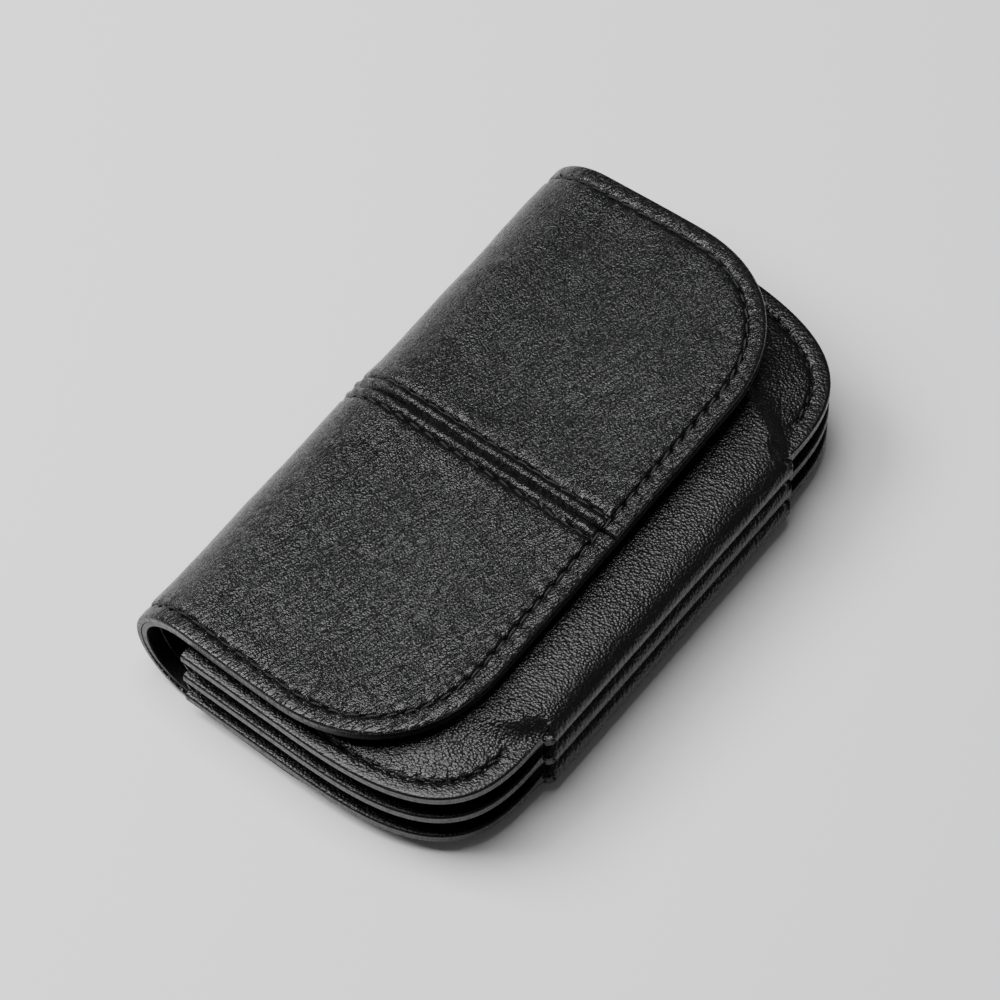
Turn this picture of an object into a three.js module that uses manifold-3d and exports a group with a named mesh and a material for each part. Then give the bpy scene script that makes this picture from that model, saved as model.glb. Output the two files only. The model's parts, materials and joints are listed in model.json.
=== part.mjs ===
// Card holder: a leather cover (flap, curled spine, back) round an accordion of three card pockets.
// Millimetres. +Y along the long sides, +X from the spine to the folded pocket ends, +Z up.
// Origin: middle of the underside's bounding box.
import * as THREE from "three";
import { mergeVertices } from "three/addons/utils/BufferGeometryUtils.js";
import Module from "manifold-3d";

// ---- driving dimensions -------------------------------------------------------------------
const DEPTH = 66;                // spine's outermost line to the folded pocket ends
const COVER_LENGTH = 108;        // flap and back along Y
const POCKET_LENGTH = 110;       // pocket sheets along Y
const COVER_SETBACK = 11.2;      // cover's free edges stop this far short of the folds
const COVER_CORNER = 25;         // cover's corner radius
const COVER_SQUARENESS = 2.2;    // exponent of the cover's corner curve; 2 is a circle
const LEATHER = 1.1;             // outer leather and the pockets' upper sheets
const LINING = 1.1;
const SHEET = 0.8;               // pockets' lower sheets
const FLAP_RISE = 2.3;           // flap's free edge above its spine end

const POCKETS = ["c", "b", "a"]; // bottom to top
const POCKET_ROOM = 4.1;         // clear height inside a pocket
const FOLD_LENGTH = 63;          // folded stretch of a pocket's end along Y
const CORNER_STEP = 1.7;         // the folds stand this far proud of the sewn corners
const CORNER_DEPTH = 35;         // sewn corner curve along X
const CORNER_SQUARENESS = 3.2;
const MOUTH_SETBACK = 11.2;      // spine's outermost line to the pocket mouths
const EDGE_WIDTH = 3.4;          // pinched border beside the stitches
const FOLD_WALL = 1;

const STITCH_INSET = 3;          // stitch line inside a cut edge
const THREAD = 0.5;              // thread's width and height
const THREAD_SINK = 0.05;        // thread's top below the leather's face
const GROOVE_WIDTH = 1;
const GROOVE_DEPTH = 0.8;
const SEAM_SPACING = 4.7;        // between the centre seam's two stitch lines
const INTERLINING = 0.35;
const INTERLINING_INSET = 5;
const VALLEY_RADIUS = 0.5;       // rolled valley fold between two pockets
const STITCH_STOP = 3.5;         // corner stitches stop this far short of the fold

// ---- clearances ---------------------------------------------------------------------------
const GAP = 0.3;                 // between neighbours that touch in leather
const LAYER_GAP = 0.2;           // outer leather to lining, and back leather to the lowest sheet
const POCKET_GAP = 0.4;          // pocket to pocket, and pocket to flap

// ---- derived layout -----------------------------------------------------------------------
const SPINE_X = -DEPTH / 2;
const FOLD_X = DEPTH / 2;
const COVER_EDGE_X = FOLD_X - COVER_SETBACK;
const MOUTH_X = SPINE_X + MOUTH_SETBACK;
const POCKET_HEIGHT = SHEET + POCKET_ROOM + LEATHER;
const POCKET_PITCH = POCKET_HEIGHT + POCKET_GAP;
const LOWEST_SHEET_Z = LEATHER + LAYER_GAP;
const STACK_TOP = LOWEST_SHEET_Z + POCKETS.length * POCKET_PITCH;
const COVER_THICKNESS = LEATHER + LAYER_GAP + LINING;
const SPINE_HEIGHT = STACK_TOP + COVER_THICKNESS;
const SPINE_RADIUS = SPINE_HEIGHT / 2;
const SPINE_CENTRE_X = SPINE_X + SPINE_RADIUS;
const PANEL = COVER_EDGE_X - SPINE_CENTRE_X;
const FLAP_TILT = Math.asin(FLAP_RISE / PANEL);
const FLAP_SWEEP = Math.PI / 2 - FLAP_TILT;
const BACK_SWEEP = Math.PI / 2;
const SPINE_STEPS = 6;
const CORNER_STEPS = 7;

const wasm = await Module();
wasm.setup();

// ---- materials ----------------------------------------------------------------------------
const FINISHES = {
  grained: { color: 0x1d1d20, roughness: 0.5, metalness: 0 },
  smooth: { color: 0x19191b, roughness: 0.4, metalness: 0 },
  lining: { color: 0x161617, roughness: 0.75, metalness: 0 },
  thread: { color: 0x0d0d0e, roughness: 0.7, metalness: 0 },
  felt: { color: 0x2a2a2a, roughness: 0.95, metalness: 0 },
};

const group = new THREE.Group();

function addPiece(name, finish, geometry) {
  const mesh = new THREE.Mesh(geometry, new THREE.MeshStandardMaterial(FINISHES[finish]));
  mesh.name = name;
  group.add(mesh);
}

// ---- outlines -----------------------------------------------------------------------------
// Quarter of a superellipse about (cx, cy), from the side (+Y) round to the end (+X).
function cornerCurve(cx, cy, alongX, alongY, squareness, stop = 0) {
  const points = [];
  for (let i = 0; i <= CORNER_STEPS; i += 1) {
    const angle = Math.PI / 2 + ((stop - Math.PI / 2) * i) / CORNER_STEPS;
    const x = cx + alongX * Math.abs(Math.cos(angle)) ** (2 / squareness);
    const y = cy + alongY * Math.abs(Math.sin(angle)) ** (2 / squareness);
    points.push([x, y]);
  }
  return points;
}

function mirrored(points) {
  return points.map(([x, y]) => [x, -y]).reverse();
}

// +Y side of a cover panel from its start to its free edge, drawn in by an inset.
function coverSide(start, end, inset) {
  const radius = COVER_CORNER - inset;
  const centreX = end - COVER_CORNER;
  const centreY = COVER_LENGTH / 2 - COVER_CORNER;
  const curve = cornerCurve(centreX, centreY, radius, radius, COVER_SQUARENESS);
  return [[start, COVER_LENGTH / 2 - inset], ...curve];
}

// +Y side of a pocket sheet from its mouth round the sewn corner to the end of the fold.
function pocketSide(start, inset, stopAt = 0) {
  const cx = FOLD_X - CORNER_STEP - CORNER_DEPTH;
  const cy = FOLD_LENGTH / 2;
  const alongY = POCKET_LENGTH / 2 - cy - inset;
  const stop = Math.asin((stopAt / alongY) ** (CORNER_SQUARENESS / 2));
  const curve = cornerCurve(cx, cy, CORNER_DEPTH - inset, alongY, CORNER_SQUARENESS, stop);
  return [[start, POCKET_LENGTH / 2 - inset], ...curve];
}

// ---- solids -------------------------------------------------------------------------------
function plate(points, bottom, top) {
  const shape = new THREE.Shape(points.map(([x, y]) => new THREE.Vector2(x, y)));
  const geometry = new THREE.ExtrudeGeometry(shape, { depth: top - bottom, bevelEnabled: false });
  geometry.translate(0, 0, bottom);
  return geometry;
}

function toManifold(geometry) {
  const bare = geometry.clone();
  bare.deleteAttribute("normal");
  bare.deleteAttribute("uv");
  const merged = mergeVertices(bare, 1e-4);
  return new wasm.Manifold(new wasm.Mesh({
    numProp: 3,
    vertProperties: merged.attributes.position.array,
    triVerts: new Uint32Array(merged.index.array),
  }));
}

function fromManifold(manifold) {
  const mesh = manifold.getMesh();
  const positions = [];
  for (let i = 0; i < mesh.vertProperties.length; i += mesh.numProp) {
    positions.push(...mesh.vertProperties.slice(i, i + 3));
  }
  const geometry = new THREE.BufferGeometry();
  geometry.setAttribute("position", new THREE.Float32BufferAttribute(positions, 3));
  geometry.setIndex([...mesh.triVerts]);
  return geometry;
}

function cutOut(base, tools) {
  let solid = toManifold(base);
  for (const tool of tools) {
    solid = solid.subtract(toManifold(tool));
  }
  return fromManifold(solid);
}

// ---- bending a flat cover piece round the spine --------------------------------------------
// A flat piece has X along the leather from the spine's outermost line, Y as it is, and Z as the
// depth below the outer face.
function crossing(p, q, value) {
  const [a, b] = p.x < q.x ? [p, q] : [q, p];
  return a.clone().lerp(b, (value - a.x) / (b.x - a.x)).setX(value);
}

function splitTriangle(triangle, value) {
  const below = [];
  const above = [];
  for (let i = 0; i < 3; i += 1) {
    const p = triangle[i];
    const q = triangle[(i + 1) % 3];
    if (p.x <= value) below.push(p);
    if (p.x >= value) above.push(p);
    if ((p.x - value) * (q.x - value) < 0) {
      const cut = crossing(p, q, value);
      below.push(cut);
      above.push(cut);
    }
  }
  const triangles = [];
  for (const side of [below, above]) {
    const area = side.some((p) => p.x !== value);
    for (let i = 2; area && i < side.length; i += 1) {
      triangles.push([side[0], side[i - 1], side[i]]);
    }
  }
  return triangles;
}

function bendRoundSpine(geometry, sweep, isFlap) {
  const flat = geometry.index ? geometry.toNonIndexed() : geometry;
  const place = flat.attributes.position;
  let triangles = [];
  for (let i = 0; i < place.count; i += 3) {
    triangles.push([0, 1, 2].map((k) => new THREE.Vector3().fromBufferAttribute(place, i + k)));
  }
  for (let step = 1; step <= SPINE_STEPS; step += 1) {
    const value = Math.fround((SPINE_RADIUS * sweep * step) / SPINE_STEPS);
    triangles = triangles.flatMap((triangle) => splitTriangle(triangle, value));
  }
  const up = isFlap ? 1 : -1;
  const bent = triangles.flatMap((triangle) => {
    const corners = triangle.map((p) => {
      const angle = Math.min(p.x / SPINE_RADIUS, sweep);
      const straight = Math.max(p.x - SPINE_RADIUS * sweep, 0);
      const radius = SPINE_RADIUS - p.z;
      const x = SPINE_CENTRE_X - radius * Math.cos(angle) + straight * Math.sin(angle);
      const rise = radius * Math.sin(angle) + straight * Math.cos(angle);
      return [x, p.y, SPINE_RADIUS + up * rise];
    });
    return isFlap ? corners.reverse().flat() : corners.flat();
  });
  const result = new THREE.BufferGeometry();
  result.setAttribute("position", new THREE.Float32BufferAttribute(bent, 3));
  return mergeVertices(result, 1e-4);
}

// ---- cover --------------------------------------------------------------------------------
// One panel with its half of the spine: two leather halves sewn along the middle, the edge
// thread and the two seam threads, each thread lying in a groove.
function addCoverPanel(name, sweep, isFlap) {
  const start = GAP / 2;
  const end = SPINE_RADIUS * sweep + PANEL / Math.sin(sweep);
  const bend = (geometry) => bendRoundSpine(geometry, sweep, isFlap);

  const track = (inset, halfWidth, from) => {
    const outer = coverSide(from, end, inset - halfWidth);
    const inner = coverSide(from, end, inset + halfWidth);
    return [...outer, ...mirrored(outer), ...[...inner, ...mirrored(inner)].reverse()];
  };
  const seamStrip = (side, halfWidth, from, to) => {
    const middle = (side * SEAM_SPACING) / 2;
    return [[from, middle - halfWidth], [to, middle - halfWidth],
      [to, middle + halfWidth], [from, middle + halfWidth]];
  };
  const seamEnd = end - STITCH_INSET - GROOVE_WIDTH;
  const edgeGroove = plate(track(STITCH_INSET, GROOVE_WIDTH / 2, start - 1), -1, GROOVE_DEPTH);

  for (const [side, label] of [[-1, "left"], [1, "right"]]) {
    const rim = coverSide(start, end, 0);
    const middle = [[end, GAP / 2], [start, GAP / 2]];
    const outline = [...rim, ...middle].map(([x, y]) => [x, side * y]);
    const seamGroove = plate(seamStrip(side, GROOVE_WIDTH / 2, start - 1, seamEnd), -1, GROOVE_DEPTH);
    const leather = cutOut(plate(outline, 0, LEATHER), [edgeGroove, seamGroove]);
    addPiece(`${name}_leather_${label}`, "grained", bend(leather));

    const seam = seamStrip(side, THREAD / 2, start + GAP, seamEnd - GAP);
    addPiece(`${name}_seam_thread_${label}`, "thread",
      bend(plate(seam, THREAD_SINK, THREAD_SINK + THREAD)));
  }
  const edge = track(STITCH_INSET, THREAD / 2, start + GAP);
  addPiece(`${name}_edge_thread`, "thread", bend(plate(edge, THREAD_SINK, THREAD_SINK + THREAD)));
  return { start, end, bend };
}

const liningTop = LEATHER + LAYER_GAP;
const flap = addCoverPanel("flap", FLAP_SWEEP, true);
const flapRim = coverSide(flap.start, flap.end, 0);
const recessStart = SPINE_RADIUS * FLAP_SWEEP + 1;
const recessRim = coverSide(recessStart, flap.end, INTERLINING_INSET);
const recess = plate([...recessRim, ...mirrored(recessRim)], 0, liningTop + INTERLINING + GAP);
const flapLining = plate([...flapRim, ...mirrored(flapRim)], liningTop, liningTop + LINING);
addPiece("flap_lining", "lining", flap.bend(cutOut(flapLining, [recess])));

const feltRim = coverSide(recessStart + GAP, flap.end, INTERLINING_INSET + GAP);
addPiece("flap_interlining", "felt",
  flap.bend(plate([...feltRim, ...mirrored(feltRim)], liningTop, liningTop + INTERLINING)));

const back = addCoverPanel("back", BACK_SWEEP, false);
const spineEnd = SPINE_RADIUS * BACK_SWEEP - (SPINE_CENTRE_X - MOUTH_X) - 2 * GAP;
const spineHalf = COVER_LENGTH / 2;
const spineOutline = [[back.start, -spineHalf], [spineEnd, -spineHalf],
  [spineEnd, spineHalf], [back.start, spineHalf]];
addPiece("spine_lining", "lining", back.bend(plate(spineOutline, liningTop, liningTop + LINING)));

// ---- pockets ------------------------------------------------------------------------------
// A half-round fold along Y that closes a pocket's end.
function foldStrip(bottom) {
  const outer = POCKET_HEIGHT / 2;
  const shape = new THREE.Shape();
  shape.absarc(0, 0, outer, -Math.PI / 2, Math.PI / 2, false);
  shape.absarc(0, 0, outer - FOLD_WALL, Math.PI / 2, -Math.PI / 2, true);
  const length = FOLD_LENGTH - 2 * GAP;
  const geometry = new THREE.ExtrudeGeometry(shape, {
    depth: length, bevelEnabled: false, curveSegments: 6,
  });
  geometry.rotateX(Math.PI / 2);
  geometry.translate(FOLD_X - outer, length / 2, bottom + outer);
  return geometry;
}

function sheetOutline() {
  const side = pocketSide(MOUTH_X, 0);
  const foldStart = FOLD_X - POCKET_HEIGHT / 2 - GAP;
  const half = [...side, [foldStart, FOLD_LENGTH / 2]];
  return [...half, ...mirrored(half)];
}

function borderOutline(side, from, outerInset, innerInset, stopAt) {
  const outer = pocketSide(from, outerInset, stopAt);
  const inner = pocketSide(from, innerInset, stopAt).reverse();
  return [...outer, ...inner].map(([x, y]) => [x, side * y]);
}

const pocketSheet = sheetOutline();
POCKETS.forEach((letter, level) => {
  const bottom = LOWEST_SHEET_Z + level * POCKET_PITCH;
  const room = bottom + SHEET;
  const ceiling = room + POCKET_ROOM;
  const top = ceiling + LEATHER;
  const name = `pocket_${letter}`;
  const threadInset = [STITCH_INSET - THREAD / 2, STITCH_INSET + THREAD / 2];
  const grooveInset = [STITCH_INSET - GROOVE_WIDTH / 2, STITCH_INSET + GROOVE_WIDTH / 2];
  const sides = [[-1, "left"], [1, "right"]];

  addPiece(`${name}_lower_sheet`, "smooth", plate(pocketSheet, bottom, room));
  const grooves = sides.map(([side]) => plate(
    borderOutline(side, MOUTH_X + GAP, ...grooveInset, STITCH_STOP - GAP), top - GROOVE_DEPTH, top + 1));
  addPiece(`${name}_upper_sheet`, "smooth", cutOut(plate(pocketSheet, ceiling, top), grooves));
  addPiece(`${name}_fold`, "smooth", foldStrip(bottom));
  for (const [side, label] of sides) {
    addPiece(`${name}_border_${label}`, "smooth",
      plate(borderOutline(side, MOUTH_X, 0, EDGE_WIDTH, 0), room + GAP, ceiling - GAP));
    addPiece(`${name}_thread_${label}`, "thread",
      plate(borderOutline(side, MOUTH_X + 2 * GAP, ...threadInset, STITCH_STOP),
        top - THREAD_SINK - THREAD, top - THREAD_SINK));
  }
  if (level > 0) {
    const valley = new THREE.CylinderGeometry(VALLEY_RADIUS, VALLEY_RADIUS, POCKET_LENGTH - 2, 12);
    valley.translate(MOUTH_X - GAP - VALLEY_RADIUS, 0, bottom - POCKET_GAP / 2);
    addPiece(`valley_fold_${letter}`, "smooth", valley);
  }
});

export default group;
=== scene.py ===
import json
import math

import bpy
import numpy as np
from mathutils import Matrix, Vector


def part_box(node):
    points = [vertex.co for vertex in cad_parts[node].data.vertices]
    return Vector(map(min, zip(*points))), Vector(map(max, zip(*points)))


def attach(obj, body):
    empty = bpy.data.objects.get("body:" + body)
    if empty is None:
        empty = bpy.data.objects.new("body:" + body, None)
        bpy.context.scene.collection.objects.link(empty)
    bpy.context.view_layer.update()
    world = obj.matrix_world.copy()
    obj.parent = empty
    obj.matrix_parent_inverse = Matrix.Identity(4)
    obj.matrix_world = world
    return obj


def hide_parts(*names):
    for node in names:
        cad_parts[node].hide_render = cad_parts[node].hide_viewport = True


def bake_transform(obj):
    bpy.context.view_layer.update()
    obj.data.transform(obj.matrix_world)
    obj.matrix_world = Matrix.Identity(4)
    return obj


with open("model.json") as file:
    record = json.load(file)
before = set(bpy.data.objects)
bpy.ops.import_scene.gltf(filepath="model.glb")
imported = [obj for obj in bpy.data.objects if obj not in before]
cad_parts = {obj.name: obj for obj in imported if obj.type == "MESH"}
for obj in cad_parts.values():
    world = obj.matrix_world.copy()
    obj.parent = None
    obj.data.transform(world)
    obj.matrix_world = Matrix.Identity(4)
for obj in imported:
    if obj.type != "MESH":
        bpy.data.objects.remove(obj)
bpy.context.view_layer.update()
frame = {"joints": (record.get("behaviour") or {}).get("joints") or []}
MM = 0.001

# ---- sizes read from the frame, in millimetres ------------------------------------------------
JOINTS = {joint["name"]: joint for joint in frame["joints"]}


def node_box(name):
    low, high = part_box(name)
    return np.array(low) / MM, np.array(high) / MM


SPINE_X, _, SPINE_RADIUS = (value / MM for value in JOINTS["flap_hinge"]["pos_m"])
SPINE_CENTRE_X = SPINE_X + SPINE_RADIUS
FLAP_HIGH = node_box("flap_leather_right")[1]
COVER_HALF = FLAP_HIGH[1]
COVER_EDGE_X = node_box("back_leather_right")[1][0]
FLAP_TILT = math.asin((FLAP_HIGH[2] - 2 * SPINE_RADIUS) / (COVER_EDGE_X - SPINE_CENTRE_X))
FOLD_X = node_box("pocket_a_fold")[1][0]
FOLD_HALF = node_box("pocket_a_fold")[1][1] + 0.3
POCKET_HALF = node_box("pocket_a_upper_sheet")[1][1]
MOUTH_X = node_box("pocket_a_upper_sheet")[0][0]
CORNER_X = node_box("pocket_a_upper_sheet")[1][0]

# ---- sizes chosen here, in millimetres --------------------------------------------------------
LEATHER = 1.1                    # the cover's outer leather
LINING = 1.1
LAYER_GAP = 0.06                 # between the cover's leather and its lining
SEAM_GAP = 0.04                  # from the middle of the cover to each leather half
INTERLINING = 0.35               # depth of the recess that holds the interlining
INTERLINING_INSET = 6.5          # between the interlining and the flap's edge
COVER_CORNER = 25.0
COVER_SQUARENESS = 2.2           # the corner curve's exponent: 2 is round, more is squarer
SPINE_HALF = COVER_HALF - 0.8    # the cover is a little narrower at the spine
FLAP_TWIST = 3.0                 # rise of the flap's +Y corner if it were square; rounded, it is less
TWIST_DROP = 0.55                # the -Y side lies down by this share of what the +Y side rises
TWIST_GROWTH = 1.5               # the twist grows with this power of the way along the flap
CORNER_DEPTH = 35.0              # how far back from the fold a pocket's round corner starts
POCKET_SQUARENESS = 3.2
STITCH_INSET = 3.0               # from an edge to its stitch line
STITCH_PITCH = 3.0
SEAM_HALF = 2.35                 # from the middle seam to each of its stitch lines
RIM_ROUND = 0.5                  # an edge is rounded over this far in
SHEET = 0.8                      # a pocket's leather
COVER_GRID = 0.45                # spacing of the mesh on the flap
POCKET_GRID = 0.5
NO_STITCH = 8                    # an edge distance at which the leather shows no stitch crack


# ---- noise and curves -------------------------------------------------------------------------
def waves(x, y, wavelengths, seed):
    """Smooth unevenness from a few sine waves in seeded directions."""
    rng = np.random.default_rng(seed)
    total = np.zeros_like(x, dtype=float)
    for wavelength in wavelengths:
        for _ in range(4):
            angle = rng.uniform(0, 2 * math.pi)
            phase = rng.uniform(0, 2 * math.pi)
            along = x * math.cos(angle) + y * math.sin(angle)
            total += np.sin(2 * math.pi * along / wavelength + phase) * rng.uniform(0.5, 1)
    return total / (4 * len(wavelengths))


def smoothstep(value, low, high):
    t = np.clip((value - low) / (high - low), 0, 1)
    return t * t * (3 - 2 * t)


def bump(value, centre, width):
    return np.exp(-((value - centre) / width) ** 2)


def corner(cx, cy, along_x, along_y, squareness, steps):
    angles = np.linspace(math.pi / 2, 0, steps)
    x = cx + along_x * np.abs(np.cos(angles)) ** (2 / squareness)
    y = cy + along_y * np.abs(np.sin(angles)) ** (2 / squareness)
    return np.stack([x, y], 1)


def resampled(points, step):
    """The polyline's points at an even spacing close to step."""
    lengths = np.r_[0, np.cumsum(np.linalg.norm(np.diff(points, axis=0), axis=1))]
    count = max(int(round(lengths[-1] / step)), 1)
    stops = np.linspace(0, lengths[-1], count + 1)
    return np.stack([np.interp(stops, lengths, points[:, k]) for k in range(points.shape[1])], 1)


def to_line(x, y, line):
    """Distance of each point to a polyline, and how far along the line the nearest point is."""
    best = np.full(x.shape, 1e9)
    along = np.zeros(x.shape)
    travelled = 0.0
    for a, b in zip(line[:-1], line[1:]):
        span = b - a
        length = float(np.hypot(*span))
        if length < 1e-9:
            continue
        t = np.clip(((x - a[0]) * span[0] + (y - a[1]) * span[1]) / length**2, 0, 1)
        distance = np.hypot(x - a[0] - t * span[0], y - a[1] - t * span[1])
        closer = distance < best
        best = np.where(closer, distance, best)
        along = np.where(closer, travelled + t * length, along)
        travelled += length
    return best, along


# ---- meshes -----------------------------------------------------------------------------------
def new_mesh(name, vertices, faces, grain, material, smooth_angle=55):
    mesh = bpy.data.meshes.new(name)
    mesh.from_pydata((np.asarray(vertices) * MM).tolist(), [], faces)
    attribute = mesh.attributes.new("grain", "FLOAT_VECTOR", "POINT")
    flat = np.zeros((len(vertices), 3), np.float32)
    flat[:, : grain.shape[1]] = grain
    attribute.data.foreach_set("vector", flat.ravel())
    mesh.shade_smooth()
    mesh.set_sharp_from_angle(angle=math.radians(smooth_angle))
    mesh.materials.append(material)
    mesh.validate()
    piece = bpy.data.objects.new(name, mesh)
    bpy.context.scene.collection.objects.link(piece)
    return piece


def grid_faces(rows, columns, start, flip):
    i, j = np.meshgrid(np.arange(rows - 1), np.arange(columns - 1), indexing="ij")
    a = start + i * columns + j
    quads = np.stack([a, a + 1, a + columns + 1, a + columns], -1).reshape(-1, 4)
    return (quads[:, ::-1] if flip else quads).tolist()


def rim_loop(rows, columns, start):
    index = start + np.arange(rows * columns).reshape(rows, columns)
    return np.concatenate([index[0, :-1], index[:-1, -1], index[-1, :0:-1], index[:0:-1, 0]])


def slab(name, top, bottom, grain, material, flip=False, coarse=1, smooth_angle=55):
    """A closed sheet from two grids of points. The bottom may be a coarser copy of the top's grid."""
    rows, columns = top.shape[:2]
    pick_r = np.unique(np.r_[np.arange(0, rows, coarse), rows - 1])
    pick_c = np.unique(np.r_[np.arange(0, columns, coarse), columns - 1])
    under = bottom[np.ix_(pick_r, pick_c)]
    vertices = np.concatenate([top.reshape(-1, 3), under.reshape(-1, 3)])
    flat = np.concatenate([grain.reshape(-1, 3), grain[np.ix_(pick_r, pick_c)].reshape(-1, 3)])
    faces = grid_faces(rows, columns, 0, not flip)
    faces += grid_faces(len(pick_r), len(pick_c), rows * columns, flip)

    fine = rim_loop(rows, columns, 0)
    rough = rim_loop(len(pick_r), len(pick_c), rows * columns)
    order = {}
    for position, index in enumerate(rough):
        r, c = divmod(index - rows * columns, len(pick_c))
        order[(pick_r[r], pick_c[c])] = position
    anchor, current = [], 0
    for index in fine:
        current = order.get(tuple(divmod(index, columns)), current)
        anchor.append(current)
    count = len(fine)
    for k in range(count):
        a, b = fine[k], fine[(k + 1) % count]
        c, d = rough[anchor[k]], rough[anchor[(k + 1) % count]]
        side = [[a, b, c]] if c == d else [[a, b, d], [a, d, c]]
        faces += [face if flip else face[::-1] for face in side]
    faces = [[int(v) for v in face] for face in faces]
    return new_mesh(name, vertices, faces, flat, material, smooth_angle)


# ---- materials --------------------------------------------------------------------------------
class Nodes:
    """Short calls for building a material's node tree."""

    def __init__(self, name):
        self.material = bpy.data.materials.new(name)
        self.material.use_nodes = True
        self.tree = self.material.node_tree
        self.shader = self.tree.nodes["Principled BSDF"]

    def add(self, kind, settings=None, **inputs):
        node = self.tree.nodes.new(kind)
        for key, value in (settings or {}).items():
            setattr(node, key, value)
        for key, value in inputs.items():
            self.set(node, key.replace("_", " "), value)
        return node

    def set(self, node, key, value):
        socket = node.inputs[int(key[1:])] if key[0] == "#" else node.inputs[key]
        if isinstance(value, bpy.types.NodeSocket):
            self.tree.links.new(value, socket)
        else:
            socket.default_value = value

    def math(self, operation, a, b=0.0, c=None):
        node = self.tree.nodes.new("ShaderNodeMath")
        node.operation = operation
        for k, value in enumerate((a, b) if c is None else (a, b, c)):
            self.set(node, f"#{k}", value)
        return node.outputs[0]

    def grain(self, along=1.0, aside=1.0, heading=0.0):
        """The leather's flat coordinates, in features of these sizes in mm along and across a heading."""
        attribute = self.add("ShaderNodeAttribute", {"attribute_name": "grain"})
        mapping = self.add("ShaderNodeMapping", {"vector_type": "TEXTURE"})
        self.set(mapping, "Vector", attribute.outputs["Vector"])
        mapping.inputs["Scale"].default_value = (along, aside, 1e5)
        mapping.inputs["Rotation"].default_value = (0, 0, heading)
        return mapping.outputs[0]

    def noise(self, vector, scale, detail=2.0, roughness=0.5):
        node = self.add("ShaderNodeTexNoise", Vector=vector, Scale=scale, Detail=detail)
        node.inputs["Roughness"].default_value = roughness
        return node.outputs["Fac"]

    def ramp(self, value, stops):
        node = self.add("ShaderNodeValToRGB")
        self.set(node, "Fac", value)
        elements = node.color_ramp.elements
        for k, (place, colour) in enumerate(stops):
            element = elements[k] if k < 2 else elements.new(place)
            element.position = place
            element.color = (*colour, 1)
        return node.outputs["Color"]

    def bump(self, height, distance, strength=1.0, normal=None):
        node = self.add("ShaderNodeBump", Height=height)
        node.inputs["Distance"].default_value = distance
        node.inputs["Strength"].default_value = strength
        if normal is not None:
            self.set(node, "Normal", normal)
        return node.outputs[0]


def grey(value, tint=0.0):
    return (value * (1 - tint), value, value * (1 + tint))


def leather(name, cell, heading, depth, crease, lumpy, dark, light, rough, seam):
    """Black leather: fine irregular pebbles, longer creases along a heading, duller hollows, and a
    crack where the thread pulls it down, 3 mm from the edge and, if seam is set, beside the middle.
    cell is the size of a pebble in mm; depth and crease set the heights of pebbles and creases in mm;
    lumpy mixes in larger lumps; dark and light are the colours of the hollows and the pebbles' crowns,
    painted shade in the hollows and a painted highlight on the crowns, over random lighter and darker
    patches."""
    n = Nodes(name)
    plane = n.grain(cell * 1.15, cell, heading)
    wobble = n.add("ShaderNodeTexNoise", Vector=plane, Scale=1.3, Detail=1.0)
    shift = n.add("ShaderNodeVectorMath", {"operation": "MULTIPLY_ADD"})
    n.set(shift, "#0", wobble.outputs["Color"])
    shift.inputs[1].default_value = (0.4, 0.4, 0)
    n.set(shift, "#2", plane)
    cells = n.add("ShaderNodeTexVoronoi", {"feature": "F1"}, Scale=1.0)
    n.set(cells, "Vector", shift.outputs[0])
    crown = n.math("SUBTRACT", 1.0, n.math("POWER", cells.outputs["Distance"], 1.7))
    lumps = n.noise(n.grain(cell * 4, cell * 2, heading), 1.0, 3.0, 0.6)
    patches = n.noise(n.grain(14, 8, heading), 1.0, 3.0, 0.55)
    creases = n.noise(n.grain(4.2, 0.9, heading), 1.0, 2.0, 0.5)
    crease_lines = n.math("MINIMUM", n.math("ABSOLUTE", n.math("SUBTRACT", creases, 0.5)), 0.06)

    place = n.add("ShaderNodeSeparateXYZ")
    stored = n.add("ShaderNodeAttribute", {"attribute_name": "grain"})
    n.set(place, "Vector", stored.outputs["Vector"])
    wander = n.math("SUBTRACT", n.noise(n.grain(1.6, 1.6), 1.0, 2.0, 0.6), 0.5)
    from_stitch = n.math("ABSOLUTE", n.math("SUBTRACT", place.outputs["Z"], STITCH_INSET))
    if seam:
        beside = n.math("SUBTRACT", n.math("ABSOLUTE", place.outputs["Y"]), SEAM_HALF)
        from_stitch = n.math("MINIMUM", from_stitch, n.math("ABSOLUTE", beside))
    from_crack = n.math("MULTIPLY_ADD", n.math("ABSOLUTE", wander), 0.9, from_stitch)
    crack = n.math("MINIMUM", n.math("DIVIDE", from_crack, 0.3), 1.0)
    pressed = n.math("MINIMUM", n.math("MULTIPLY_ADD", place.outputs["Z"], 0.3, 0.25), 1.0)

    strength = n.math("MULTIPLY", n.math("MULTIPLY_ADD", patches, 1.6, 0.1), pressed)
    pebbles = n.math("MULTIPLY", n.math("MULTIPLY_ADD", lumps, lumpy, crown), strength)
    folded = n.bump(crease_lines, crease * MM, 1.0)
    cracked = n.bump(crack, 0.2 * MM, 1.0, folded)
    n.set(n.shader, "Normal", n.bump(pebbles, depth * MM, 1.0, cracked))
    # painted shade and highlight: the base colour is lighter on the pebbles' crowns and darker in the
    # hollows, mixed with random lighter and darker patches
    crown_shade_and_patch_tone = n.math("MULTIPLY_ADD", n.math("SUBTRACT", patches, 0.5), 0.4, crown)
    n.set(n.shader, "Base Color", n.ramp(crown_shade_and_patch_tone, [(0.3, grey(dark, 0.02)), (0.95, grey(light, 0.03))]))
    gloss = n.math("MULTIPLY_ADD", crown, -0.25, rough + 0.4)
    n.set(n.shader, "Roughness", n.math("MULTIPLY_ADD", crack, -0.15, gloss))
    n.shader.inputs["Specular IOR Level"].default_value = 0.36
    return n.material


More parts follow.
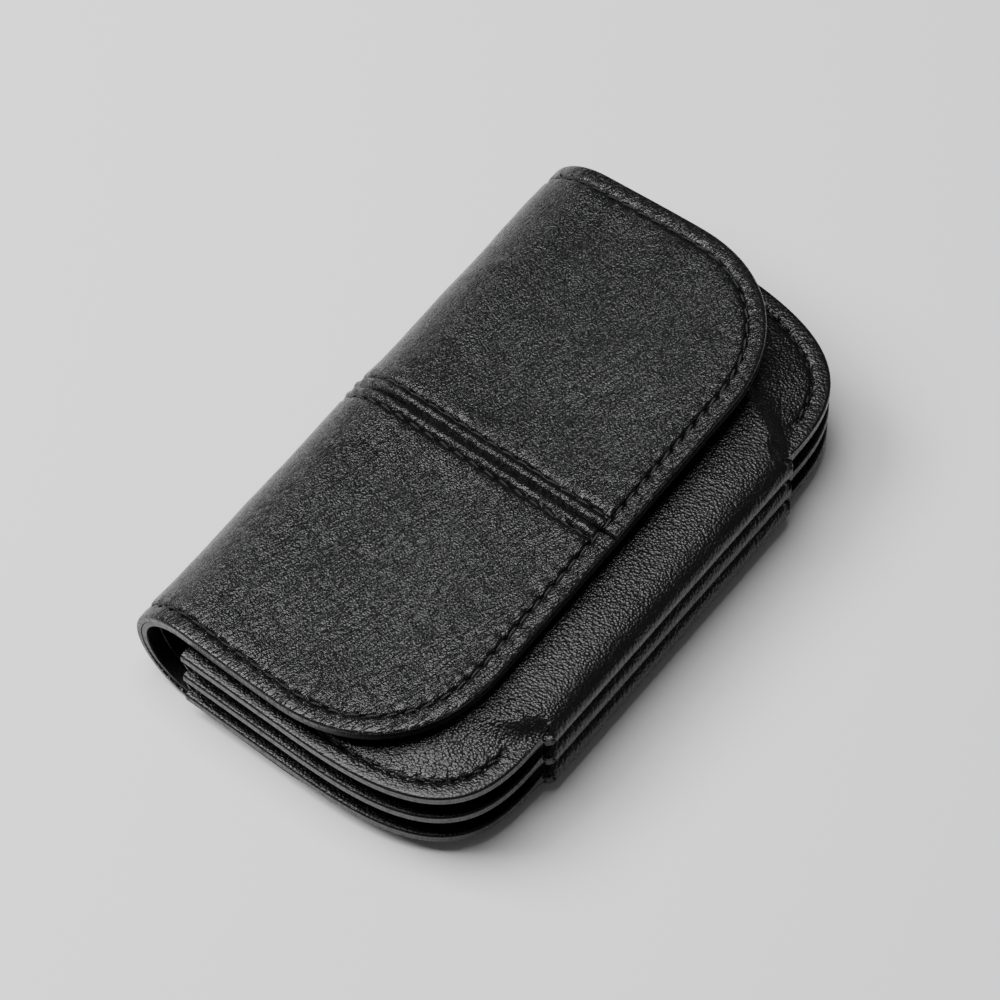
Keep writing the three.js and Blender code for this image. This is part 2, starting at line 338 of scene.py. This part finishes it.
def thread_material(name):
    n = Nodes(name)
    twist = n.add("ShaderNodeTexWave", {"bands_direction": "DIAGONAL"}, Scale=1.6, Distortion=0.6)
    n.set(twist, "Vector", n.grain())
    # painted highlight and shade: the thread's colour is lighter on the crests of its twist and darker in
    # its grooves
    n.set(n.shader, "Base Color", n.ramp(twist.outputs["Fac"], [(0.1, grey(0.003)), (0.9, grey(0.008))]))
    n.set(n.shader, "Roughness", n.math("MULTIPLY_ADD", twist.outputs["Fac"], 0.2, 0.5))
    n.set(n.shader, "Normal", n.bump(twist.outputs["Fac"], 0.0001, 0.8))
    return n.material


def felt_material(name):
    n = Nodes(name)
    place = n.add("ShaderNodeTexCoord").outputs["Object"]
    fuzz = n.noise(place, 2500.0, 4.0, 0.7)
    n.set(n.shader, "Base Color", n.ramp(fuzz, [(0.3, grey(0.1)), (0.7, grey(0.2))]))
    n.set(n.shader, "Roughness", n.math("MULTIPLY_ADD", fuzz, 0.1, 0.85))
    n.set(n.shader, "Normal", n.bump(fuzz, 0.0001, 0.6))
    return n.material


GRAINED = leather("grained_leather", cell=0.27, heading=math.radians(74), depth=0.1, crease=1.5,
                  lumpy=0.35, dark=0.001, light=0.006, rough=0.17, seam=True)
SMOOTH = leather("smooth_leather", cell=0.40, heading=math.radians(20), depth=0.12, crease=0.2,
                 lumpy=0.1, dark=0.001, light=0.004, rough=0.22, seam=False)
LINING_MATERIAL = leather("lining_leather", cell=0.36, heading=0.4, depth=0.07, crease=0.2,
                          lumpy=0.2, dark=0.001, light=0.005, rough=0.3, seam=False)
THREAD_MATERIAL = thread_material("black_thread")
FELT = felt_material("grey_felt")


# ---- cover ------------------------------------------------------------------------------------
FLAP_SWEEP = math.pi / 2 - FLAP_TILT
PANEL = COVER_EDGE_X - SPINE_CENTRE_X
FLAP_START = SPINE_RADIUS * FLAP_SWEEP + 1
FLAP_END = SPINE_RADIUS * FLAP_SWEEP + PANEL / math.cos(FLAP_TILT)
BACK_START = SPINE_RADIUS * math.pi / 2
BACK_END = BACK_START + PANEL


def cover_point(s, y, depth):
    """A place on the cover. s runs along the leather from the spine's outermost line, positive to the
    flap and negative to the back, and depth is below the outer face."""
    is_flap = s >= 0
    sweep = np.where(is_flap, FLAP_SWEEP, math.pi / 2)
    run = np.abs(s)
    angle = np.minimum(run / SPINE_RADIUS, sweep)
    straight = np.maximum(run - SPINE_RADIUS * sweep, 0)
    radius = SPINE_RADIUS - depth
    x = SPINE_CENTRE_X - radius * np.cos(angle) + straight * np.sin(angle)
    rise = radius * np.sin(angle) + straight * np.cos(angle)
    z = SPINE_RADIUS + np.where(is_flap, rise, -rise)
    share = np.where(is_flap, np.clip(run / FLAP_END, 0, 1), 0)
    lean = np.where(y > 0, y / COVER_HALF, TWIST_DROP * y / COVER_HALF)
    z = z + FLAP_TWIST * share**TWIST_GROWTH * lean
    return np.stack([x, y + 0 * x, z], -1)


def cover_side(end, inset, step):
    """+Y rim from the spine's outermost line to the middle of the free edge."""
    radius = COVER_CORNER - inset
    bend = corner(end - COVER_CORNER, COVER_HALF - COVER_CORNER, radius, radius, COVER_SQUARENESS, 60)
    runs = np.linspace(0, end - COVER_CORNER, 12)[:-1]
    side = np.stack([runs, half_width(runs, end, SPINE_HALF) - inset], 1)
    return resampled(np.concatenate([side, bend, [[end - inset, 0]]]), step)


def cover_stations(end, step):
    """Distances from the spine, close together where the corner turns."""
    straight = np.linspace(0, end - COVER_CORNER, int((end - COVER_CORNER) / step) + 1)
    turns = np.linspace(0, math.pi / 2, int(COVER_CORNER * 1.5 / step) + 1)[1:]
    curved = end - COVER_CORNER + COVER_CORNER * np.abs(np.sin(turns)) ** (2 / COVER_SQUARENESS)
    return np.r_[straight, curved]


def half_width(run, end, spine_half):
    t = np.clip((run - (end - COVER_CORNER)) / COVER_CORNER, 0, 1)
    drop = 1 - (1 - t**COVER_SQUARENESS) ** (1 / COVER_SQUARENESS)
    flare = smoothstep(run, 0, end - COVER_CORNER)
    return spine_half + (COVER_HALF - spine_half) * flare - COVER_CORNER * drop


def across(width, step, margin):
    """Shares of the width from the middle to the rim, with extra rows in the last millimetre."""
    inner = np.linspace(0, 1 - margin / width, int((width - margin) / step) + 1)
    outer = 1 - np.array([0.62, 0.38, 0.2, 0.08, 0.0]) / width
    return np.r_[inner, outer]


def stitch_wiggle(along, pitch):
    """The slant of the stitches: a ramp along each stitch with a quick return between them."""
    phase = along / pitch - np.floor(along / pitch)
    return np.where(phase < 0.85, phase / 0.85, (1 - phase) / 0.15) * 2 - 1


def sewn_relief(edge, along, seed):
    """Height of leather near an edge that is sewn 3 mm in: rounded rim, sunken stitch line with a
    pit at each stitch, and leather gathered up just inside it. All heights and widths are in mm."""
    gather = 0.75 + 0.5 * waves(along, 0 * along, (7, 13, 23), seed)
    line = STITCH_INSET + 0.2 * stitch_wiggle(along, STITCH_PITCH)
    rim = np.clip(RIM_ROUND - edge, 0, RIM_ROUND) / RIM_ROUND
    pits = smoothstep(np.cos(2 * math.pi * along / STITCH_PITCH), 0.6, 1.0)
    height = -0.42 * (1 - np.sqrt(1 - np.clip(rim, 0, 1) ** 2))
    height += 0.06 * bump(edge, 1.5, 0.9)
    height -= 0.5 * bump(edge, line, 0.26) + 0.4 * pits * bump(edge, STITCH_INSET, 0.4)
    inside = np.clip(edge - line, 0, None)
    puff = (1 - np.exp(-inside / 0.7)) * np.exp(-inside / 4.5)
    height += 0.4 * gather * puff
    ripple = 0.5 + 0.5 * np.cos(2 * math.pi * along / STITCH_PITCH)
    height -= 0.2 * ripple * gather * bump(edge, line + 0.9, 0.75)
    height -= 0.07 * ripple * bump(edge, line - 0.8, 0.6)
    return height


def seam_relief(side, s, edge, seed):
    """Height of leather beside the middle seam: the seam's valley, a puffed ridge, a stitch line and
    the leather gathered outside it. All but the valley fades out towards the cover's edge. In mm."""
    gather = 0.8 + 0.5 * waves(s, 0 * s, (5, 11, 17), seed)
    line = SEAM_HALF + 0.1 * stitch_wiggle(s, STITCH_PITCH)
    ripple = 0.5 + 0.5 * np.cos(2 * math.pi * s / STITCH_PITCH)
    inner = smoothstep(edge, 2.4, 3.8)
    height = -0.6 * bump(side, 0, 0.2)
    height += inner * (0.56 - 0.26 * ripple) * gather * bump(side, 1.15, 0.55)
    height -= inner * 0.58 * bump(side, line, 0.28)
    outside = np.clip(side - line, 0, None)
    height += inner * 0.42 * gather * (1 - np.exp(-outside / 0.6)) * np.exp(-outside / 3.2)
    height -= inner * 0.16 * ripple * gather * bump(side, line + 0.8, 0.6)
    return height


def cover_relief(s, y, seed):
    """Height of the cover's leather over its flat shape, and each point's distance from the edge."""
    edge = np.full(s.shape, 1e9)
    along = np.zeros(s.shape)
    for end, part in ((FLAP_END, s >= 0), (BACK_END, s < 0)):
        distance, travelled = to_line(np.abs(s[part]), np.abs(y[part]), cover_side(end, 0, 1.0))
        edge[part] = distance
        along[part] = travelled
    height = sewn_relief(edge, along, seed) + seam_relief(np.abs(y), s, edge, seed + 1)
    broad = waves(s, y, (19, 31, 47), seed + 2) * 0.32 + waves(s, y, (6, 9), seed + 3) * 0.07
    return height + broad * smoothstep(edge, 3.5, 9) * smoothstep(np.abs(y), 2.5, 8), edge


def cover_grid(step_flap, step_back):
    flap_s = cover_stations(FLAP_END, step_flap)
    back_s = cover_stations(BACK_END, step_back)
    stations = np.r_[-back_s[:0:-1], flap_s]
    end = np.where(stations >= 0, FLAP_END, BACK_END)
    width = half_width(np.abs(stations), end, SPINE_HALF)
    return stations, width


def make_cover_leather(label, side):
    stations, width = cover_grid(COVER_GRID, 2 * COVER_GRID)
    shares = across(COVER_HALF, COVER_GRID, 2 * COVER_GRID)
    s = np.repeat(stations[:, None], len(shares), 1)
    y = side * (SEAM_GAP + (width[:, None] - SEAM_GAP) * shares[None, :])
    height, edge = cover_relief(s, y, 11 if side > 0 else 29)
    most = 6 * smoothstep(s, -BACK_START, 8 - BACK_START)    # nothing stands out under the back panel
    height = np.minimum(height, most)
    top = cover_point(s, y, -height)
    recess = smoothstep(edge, INTERLINING_INSET - 0.8, INTERLINING_INSET - 0.3)
    recess = recess * smoothstep(s, FLAP_START - 0.8, FLAP_START - 0.3)
    bottom = cover_point(s, y, LEATHER - INTERLINING * recess)
    piece = slab(f"cover_leather_{label}", top, bottom, np.stack([s, y, edge], -1), GRAINED,
                 flip=side < 0, coarse=3)
    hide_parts(f"flap_leather_{label}", f"back_leather_{label}")
    return piece


def make_interlining():
    """A thin stiffening sheet in a recess between the flap's leather and its lining."""
    stations = np.linspace(FLAP_START, FLAP_END - INTERLINING_INSET, 70)
    shares = np.linspace(-1, 1, 90)
    width = half_width(stations + INTERLINING_INSET - 0.01, FLAP_END, SPINE_HALF)
    width = width - INTERLINING_INSET
    s = np.repeat(stations[:, None], len(shares), 1)
    y = width[:, None] * shares[None, :]
    top = cover_point(s, y, LEATHER - INTERLINING + 0.05 + 0 * s)
    bottom = cover_point(s, y, LEATHER + 0.01 + 0 * s)
    piece = slab("cover_interlining", top, bottom, np.stack([s, y, NO_STITCH + 0 * s], -1), FELT)
    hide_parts("flap_interlining")
    return piece


def make_cover_lining():
    """The lining runs under the whole flap and round the spine as far as the lowest pocket."""
    flap_s = cover_stations(FLAP_END, 0.9)
    back_s = np.linspace(0, BACK_START - 1, 18)
    stations = np.r_[-back_s[:0:-1], flap_s]
    width = half_width(np.clip(stations, 0, None), FLAP_END, SPINE_HALF) - 0.08
    shares = across(COVER_HALF, 1.2, 1.2)
    shares = np.r_[-shares[:0:-1], shares]
    s = np.repeat(stations[:, None], len(shares), 1)
    y = width[:, None] * shares[None, :]
    edge, _ = to_line(np.abs(s), np.abs(y), cover_side(FLAP_END, 0, 1.5))
    rim = np.clip(RIM_ROUND - edge, 0, RIM_ROUND) / RIM_ROUND
    rounding = 0.25 * (1 - np.sqrt(1 - rim**2))
    depth = LEATHER + LAYER_GAP
    top = cover_point(s, y, depth + rounding * 0.6)
    ripple = 0.06 * waves(s, y, (8, 14), 77)
    bottom = cover_point(s, y, depth + LINING - rounding + ripple)
    piece = slab("cover_lining", top, bottom, np.stack([s, y, edge], -1), LINING_MATERIAL)
    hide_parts("flap_lining", "spine_lining")
    return piece


# ---- stitches ---------------------------------------------------------------------------------
def stitch_mesh(name, centres, directions, normals, length, radius, dip, material):
    """One short thread per stitch: a tube whose middle lies on the leather and whose ends go in."""
    rings, around = 7, 8
    vertices, faces, grain = [], [], []
    turn = np.linspace(0, 2 * math.pi, around, endpoint=False)
    places = np.linspace(-0.5, 0.5, rings)
    for k, (centre, forward, up) in enumerate(zip(centres, directions, normals)):
        aside = np.cross(up, forward)
        start = len(vertices)
        for place in places:
            bend = dip * (2 * abs(place)) ** 3
            middle = centre + forward * place * length - up * bend
            thin = radius * (1 - 0.35 * (2 * abs(place)) ** 4)
            for angle in turn:
                offset = aside * math.cos(angle) * thin * 1.1 + up * math.sin(angle) * thin * 0.85
                vertices.append(middle + offset)
                grain.append((place * length + k, angle * radius))
        for ring in range(rings - 1):
            for spot in range(around):
                a = start + ring * around + spot
                b = start + ring * around + (spot + 1) % around
                faces.append([a, b, b + around, a + around])
        faces.append([start + spot for spot in range(around)][::-1])
        last = start + (rings - 1) * around
        faces.append([last + spot for spot in range(around)])
    return new_mesh(name, np.array(vertices), faces, np.array(grain), material, 80)


def stitches_on(name, place, line, slant, sink, seed):
    """Stitches along a line in the leather's flat plane; place maps flat points to the model."""
    rng = np.random.default_rng(seed)
    spots = resampled(line, STITCH_PITCH)
    middles = (spots[:-1] + spots[1:]) / 2
    headings = np.diff(spots, axis=0)
    headings /= np.linalg.norm(headings, axis=1)[:, None]
    centres, directions, normals = [], [], []
    for middle, heading in zip(middles, headings):
        turn = slant + rng.uniform(-0.05, 0.05)
        turned = np.array([heading[0] * math.cos(turn) - heading[1] * math.sin(turn),
                           heading[0] * math.sin(turn) + heading[1] * math.cos(turn)])
        point = place(middle, 0.0)
        ahead = place(middle + 0.1 * turned, 0.0) - point
        ahead /= np.linalg.norm(ahead)
        up = place(middle, -0.1) - point
        up -= ahead * (up @ ahead)
        up /= np.linalg.norm(up)
        centres.append(point - up * (sink + rng.uniform(-0.03, 0.03)))
        directions.append(ahead)
        normals.append(up)
    piece = stitch_mesh(name, centres, directions, normals, length=STITCH_PITCH * 0.82, radius=0.2,
                        dip=0.45, material=THREAD_MATERIAL)
    return piece


def on_cover(flat, depth):
    return cover_point(np.array(flat[0]), np.array(flat[1]), np.array(depth))


def whole_cover_line(inset):
    """The edge stitches' line, all the way round the cover."""
    flap = cover_side(FLAP_END, inset, 0.5)
    back = cover_side(BACK_END, inset, 0.5) * [-1, 1]
    upper = np.concatenate([back[::-1], flap[1:]])
    lower = (upper * [1, -1])[::-1]
    return np.concatenate([upper, lower[1:]])


def bend_with_cover(piece):
    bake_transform(piece)


def make_cover():
    pieces = [make_cover_leather("left", -1), make_cover_leather("right", 1), make_cover_lining()]
    edge = stitches_on("cover_edge_stitches", on_cover, whole_cover_line(STITCH_INSET), 0.13, 0.22, 3)
    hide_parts("flap_edge_thread", "back_edge_thread")
    pieces.append(edge)
    for label, side in (("left", -1), ("right", 1)):
        ends = np.array([[-BACK_END + 4, side * SEAM_HALF], [FLAP_END - 4, side * SEAM_HALF]])
        seam = stitches_on(f"cover_seam_stitches_{label}", on_cover, resampled(ends, 0.5),
                           side * 0.11, 0.22, 5 + side)
        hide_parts(f"flap_seam_thread_{label}", f"back_seam_thread_{label}")
        pieces.append(seam)
    for piece in pieces:
        bend_with_cover(piece)
    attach(make_interlining(), "flap")


# ---- pockets ----------------------------------------------------------------------------------
PINCH = 1.0             # half the thickness where the two sheets are sewn together
FOLD_ROUND = 6.0        # the fold's roundness starts this far from its outermost line
FOLD_SQUARENESS = 2.4
SEWN_FLAT = 2.2         # the sheets stay together this far in from a sewn rim
RISE_AT_FOLD = 2.5      # a pocket opens to its full height over this distance at the fold
RISE_ADDED = 13         # and over this much more where the rim is sewn
SEWN_BLEND = 12         # between the end of the fold and the fully sewn rim
BARE_RIM = 6.5          # the stitches stop this far before the end of the rim


def pocket_half_width(x):
    t = np.clip((x - (CORNER_X - CORNER_DEPTH)) / CORNER_DEPTH, 0, 1)
    curve = (1 - t**POCKET_SQUARENESS) ** (1 / POCKET_SQUARENESS)
    width = FOLD_HALF + (POCKET_HALF - FOLD_HALF) * curve
    past = np.clip((x - CORNER_X) / (FOLD_X - CORNER_X), 0, 1)
    return width - 1.1 * smoothstep(past, 0.0, 1.0) + 0.5 * np.sin(math.pi * past)


def pocket_rim(step):
    """+Y rim from the mouth round the sewn corner to the end of the fold."""
    bend = corner(CORNER_X - CORNER_DEPTH, FOLD_HALF, CORNER_DEPTH, POCKET_HALF - FOLD_HALF,
                  POCKET_SQUARENESS, 90)
    nose_x = np.linspace(CORNER_X, FOLD_X, 8)[1:]
    nose = np.stack([nose_x, pocket_half_width(nose_x)], 1)
    return resampled(np.concatenate([[[MOUTH_X, POCKET_HALF]], bend, nose]), step)


def pocket_stations(step):
    start = CORNER_X - CORNER_DEPTH
    straight = np.linspace(MOUTH_X, start, int((start - MOUTH_X) / step) + 1)
    turns = np.linspace(0, math.pi / 2, int(44 / step) + 1)[1:]
    curved = start + CORNER_DEPTH * np.abs(np.sin(turns)) ** (2 / POCKET_SQUARENESS)
    curved = curved[curved < CORNER_X - 0.02]
    nose = FOLD_X - (FOLD_X - CORNER_X) * (1 - np.sin(np.linspace(0, math.pi / 2, 9)))
    return np.r_[straight, curved, nose]


def pocket_shape(x, half, edge, to_fold):
    """Half the pocket's thickness: pinched at the sewn rim, round at the fold."""
    sewn = smoothstep(to_fold, 0, SEWN_BLEND)
    t = np.clip((edge - SEWN_FLAT * sewn) / (RISE_AT_FOLD + RISE_ADDED * sewn), 0, 1)
    opening = PINCH + (half - PINCH) * t * t * (3 - 2 * t)
    t = np.clip((x - (FOLD_X - FOLD_ROUND)) / FOLD_ROUND, 0, 1)
    fold = half * np.sqrt(np.clip(1 - t**FOLD_SQUARENESS, 0, 1))
    return np.minimum(opening, fold)


def pocket_mid(letter):
    """The height of a pocket's middle, and half its thickness."""
    low = node_box(f"pocket_{letter}_lower_sheet")[0][2]
    high = node_box(f"pocket_{letter}_upper_sheet")[1][2]
    return (low + high) / 2, (high - low) / 2


def make_pocket(letter, body, seed):
    middle, half = pocket_mid(letter)
    stations = pocket_stations(POCKET_GRID)
    width = pocket_half_width(stations)
    shares = across(POCKET_HALF, POCKET_GRID, 1.0)
    shares = np.r_[-shares[:0:-1], shares]
    x = np.repeat(stations[:, None], len(shares), 1)
    y = width[:, None] * shares[None, :]
    edge, along = to_line(x, np.abs(y), pocket_rim(1.0))
    half_here = pocket_shape(x, half, edge, RIM_LENGTH - along)
    fade = smoothstep(STITCH_LAST - along, 0, 2.5)
    relief = sewn_relief(edge, along, seed) * 0.85
    stitch_part = smoothstep(edge, 0.8, 1.6)
    relief = relief * (1 - stitch_part) + relief * stitch_part * fade
    relief = relief * (1 - smoothstep(x, FOLD_X - 2.5, FOLD_X - 0.8))
    broad = 0.16 * waves(x, y, (17, 29, 43), seed + 1) * smoothstep(edge, 5, 12)
    broad = broad * (1 - smoothstep(x, FOLD_X - 5, FOLD_X - 1))
    grain = np.stack([x, y, edge + NO_STITCH * (1 - fade)], -1)
    for name, sign in (("upper", 1), ("lower", -1)):
        outer = middle + sign * np.maximum(half_here + relief + (broad if sign > 0 else 0), 0.02)
        hollow = (half_here - SHEET) * smoothstep(edge, 2.9, 3.5)
        inner = middle + sign * np.maximum(hollow, 0.02)
        inner_x = np.where(x > FOLD_X - SHEET, FOLD_X - SHEET, x)
        top = np.stack([x, y, outer], -1)
        under = np.stack([inner_x, y, inner], -1)
        apart = [0, 200 * sign, 0]    # so that the two sheets don't share one grain
        piece = slab(f"pocket_{letter}_{name}_leather", top, under, grain + apart, SMOOTH,
                     flip=sign < 0, coarse=3)
        if sign > 0:
            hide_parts(f"pocket_{letter}_upper_sheet", f"pocket_{letter}_fold")
        else:
            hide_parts(f"pocket_{letter}_lower_sheet", f"pocket_{letter}_border_left",
                        f"pocket_{letter}_border_right")
        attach(piece, body)

    def place(flat, depth):
        return np.array([flat[0], flat[1], middle + PINCH - depth])

    path = resampled(pocket_stitch_line(), 0.5)
    for label, side in (("left", -1), ("right", 1)):
        thread = stitches_on(f"pocket_{letter}_stitches_{label}", place, path * [1, side],
                             side * 0.12, 0.18, seed + 7)
        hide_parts(f"pocket_{letter}_thread_{label}")
        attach(thread, body)


def pocket_stitch_line():
    """The +Y stitch line of a pocket, from its mouth to where its stitches stop."""
    bend = corner(CORNER_X - CORNER_DEPTH, FOLD_HALF, CORNER_DEPTH - STITCH_INSET,
                  POCKET_HALF - FOLD_HALF - STITCH_INSET, POCKET_SQUARENESS, 90)
    kept = bend[bend[:, 1] > FOLD_HALF + 3.5]
    return np.concatenate([[[MOUTH_X + 0.6, POCKET_HALF - STITCH_INSET]], kept])


RIM_LENGTH = float(np.sum(np.linalg.norm(np.diff(pocket_rim(0.5), axis=0), axis=1)))
STITCH_LAST = RIM_LENGTH - BARE_RIM


def make_valley(letter):
    """The crease that joins one pocket's lower sheet to the upper sheet of the pocket below."""
    low, high = node_box(f"valley_fold_{letter}")
    centre = (low + high) / 2
    turns = np.linspace(-math.pi / 2, math.pi / 2, 15)
    ys = np.linspace(-POCKET_HALF + 1.2, POCKET_HALF - 1.2, 60)
    edge, along = to_line(MOUTH_X + 0 * ys, np.abs(ys), pocket_rim(1.0))
    mid_a, half = pocket_mid("a")
    mid_b, _ = pocket_mid("b")
    half_here = pocket_shape(MOUTH_X + 0 * ys, half, edge, RIM_LENGTH - along)
    reach = (mid_a - mid_b) / 2 - half_here + 0.35

    def arc(radius):
        x = MOUTH_X + 0.9 - (np.minimum(radius, 1.1) * 1.6)[None, :] * np.cos(turns)[:, None]
        z = centre[2] + radius[None, :] * np.sin(turns)[:, None]
        return np.stack([x, np.repeat(ys[None, :], len(turns), 0), z], -1)

    outer = arc(reach)
    inner = arc(reach - 0.5)
    run = np.repeat(turns[:, None], len(ys), 1)
    grain = np.stack([run, outer[..., 1], NO_STITCH + 0 * run], -1)
    piece = slab(f"valley_crease_{letter}", outer, inner, grain, SMOOTH, flip=True)
    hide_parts(f"valley_fold_{letter}")
    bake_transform(piece)


# ---- camera, lights and floor -------------------------------------------------------------------
VIEW = {"azimuth": 38.7, "elevation": 60.6, "roll": -0.6}      # degrees
DISTANCE = 853.0                 # from the camera to the point it looks at, in mm
SENSOR = 36                      # in mm, like the lens
LENS = 191.268
AIM = (4.6, 0.0, 0.0)
SHIFT = (-0.0338, 0.0611)        # shares of the picture's width
WHITE = (1, 1, 1, 1)
FLOOR_TONE = (0.78, 0.78, 0.78, 1)
WORLD_STRENGTH = 0.13


def make_camera():
    azimuth, elevation, roll = (math.radians(VIEW[k]) for k in ("azimuth", "elevation", "roll"))
    back = np.array([math.sin(azimuth) * math.cos(elevation),
                     -math.cos(azimuth) * math.cos(elevation), math.sin(elevation)])
    right = np.array([math.cos(azimuth), math.sin(azimuth), 0])
    up = np.cross(back, right)
    turned_right = math.cos(roll) * right + math.sin(roll) * up
    turned_up = -math.sin(roll) * right + math.cos(roll) * up
    data = bpy.data.cameras.new("camera")
    data.sensor_width = SENSOR
    data.lens = LENS
    data.shift_x, data.shift_y = SHIFT
    data.clip_start = 0.01
    camera = bpy.data.objects.new("camera", data)
    bpy.context.scene.collection.objects.link(camera)
    place = (np.array(AIM) + back * DISTANCE) * MM
    rows = [(turned_right[k], turned_up[k], back[k], place[k]) for k in range(3)]
    camera.matrix_world = Matrix((*rows, (0, 0, 0, 1)))
    bpy.context.scene.camera = camera


def area_light(name, place, size, power):
    """A square light that faces the origin."""
    data = bpy.data.lights.new(name, "AREA")
    data.shape = "RECTANGLE"
    data.size = size
    data.size_y = size
    data.energy = power
    light = bpy.data.objects.new(name, data)
    light.location = place
    light.rotation_euler = (-Vector(place)).to_track_quat("-Z", "Y").to_euler()
    bpy.context.scene.collection.objects.link(light)


def make_stage():
    bpy.ops.mesh.primitive_plane_add(size=6)
    floor = bpy.context.object
    floor.name = "floor"
    n = Nodes("pale_floor")
    n.shader.inputs["Base Color"].default_value = FLOOR_TONE
    n.shader.inputs["Roughness"].default_value = 0.75
    floor.data.materials.append(n.material)
    world = bpy.data.worlds.new("studio")
    world.use_nodes = True
    background = world.node_tree.nodes["Background"]
    background.inputs["Color"].default_value = WHITE
    background.inputs["Strength"].default_value = WORLD_STRENGTH
    bpy.context.scene.world = world
    area_light("key", (-0.42, -0.2, 0.62), size=0.36, power=7.6)
    area_light("top", (-0.13, 0.0, 0.84), size=0.4, power=6.2)


make_camera()
make_stage()
make_cover()
make_pocket("c", "back", 101)
make_pocket("b", "middle_pocket", 131)
make_pocket("a", "top_pocket", 161)
make_valley("b")
make_valley("a")
